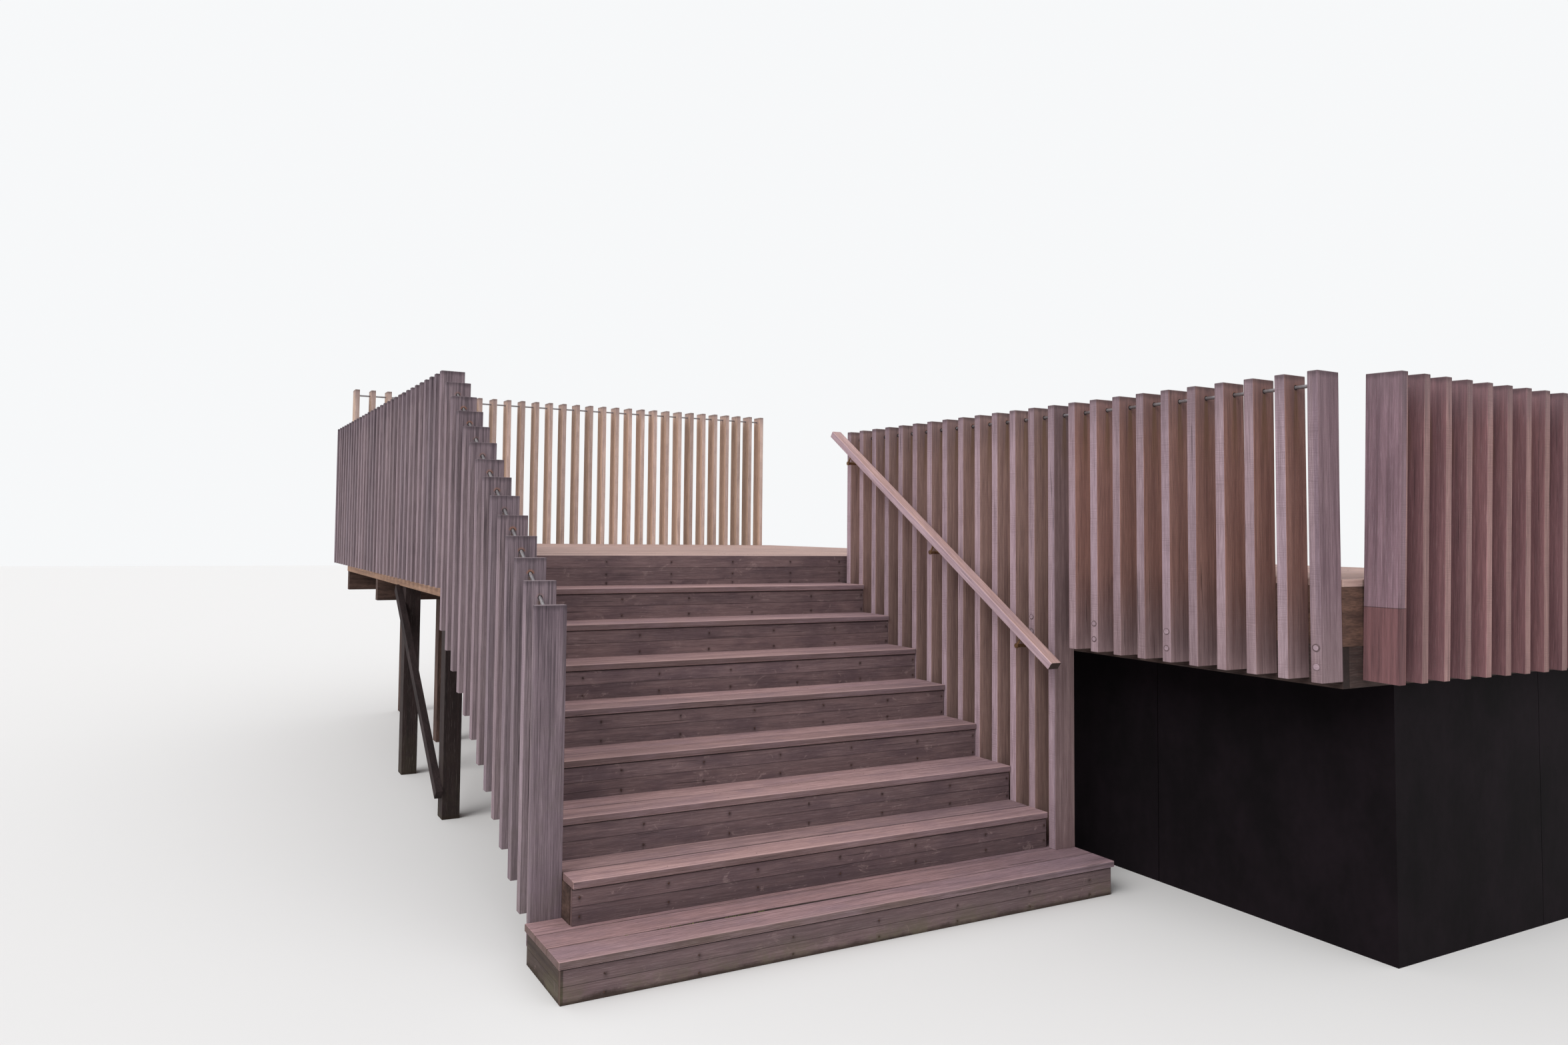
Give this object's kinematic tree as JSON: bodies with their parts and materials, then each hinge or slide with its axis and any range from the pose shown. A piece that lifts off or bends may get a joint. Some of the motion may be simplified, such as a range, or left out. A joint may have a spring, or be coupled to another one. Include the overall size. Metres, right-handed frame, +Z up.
{
  "type": "wooden deck stairs",
  "caption": "Wide timber stairs between upright slatted screens, with the raised deck that they climb to, its slatted walls, handrail, posts and black skirt.",
  "frame": {"origin": "on the ground under the base step's front rail, on the centre line of the flight", "axes": "+Z up, +Y up the stairs towards the back of the deck, +X to the right for someone walking up"},
  "size_m": [5.106, 8.2154, 3.236],
  "materials": {
    "fin_wood": "rough sawn, weathered grey",
    "tread_wood": "weathered, worn by feet",
    "riser_wood": "weathered brown",
    "frame_wood": "rough sawn",
    "rail_wood": "dressed, weathered",
    "galvanised_steel": "galvanised, rust at the holes",
    "bracket_metal": "dull",
    "skirt_sheet": "black paint on sheet"
  },
  "bodies": {
    "root": {"base_step_frame": "frame_wood", "base_step_risers": "riser_wood", "base_step_tread": "tread_wood", "left_stringer": "frame_wood", "right_stringer": "frame_wood", "inner_stringers": "frame_wood", "stair_risers": "riser_wood", "tread_2": "tread_wood", "tread_3": "tread_wood", "tread_4": "tread_wood", "tread_5": "tread_wood", "tread_6": "tread_wood", "tread_7": "tread_wood", "tread_8": "tread_wood", "left_stair_fins": "fin_wood", "left_deck_fins": "fin_wood", "right_stair_fins": "fin_wood", "right_deck_fins": "fin_wood", "front_fins": "fin_wood", "rear_fins": "fin_wood", "left_stair_rod": "galvanised_steel", "left_deck_rod": "galvanised_steel", "right_rod": "galvanised_steel", "front_rod": "galvanised_steel", "rear_rod": "galvanised_steel", "handrail": "rail_wood", "handrail_brackets": "bracket_metal", "deck_boards": "tread_wood", "wing_boards": "tread_wood", "deck_joists": "frame_wood", "wing_joists": "frame_wood", "deck_rims": "frame_wood", "left_edge_beam": "riser_wood", "house_ledger": "frame_wood", "wing_side_rim": "riser_wood", "wing_front_rim": "riser_wood", "wing_side_fascia": "riser_wood", "wing_front_fascia": "riser_wood", "deck_bearers": "frame_wood", "edge_posts": "riser_wood", "inner_posts": "frame_wood", "post_brace": "riser_wood", "side_skirt": "skirt_sheet", "front_skirt": "skirt_sheet", "skirt_frame": "frame_wood"}
  },
  "joints": []
}
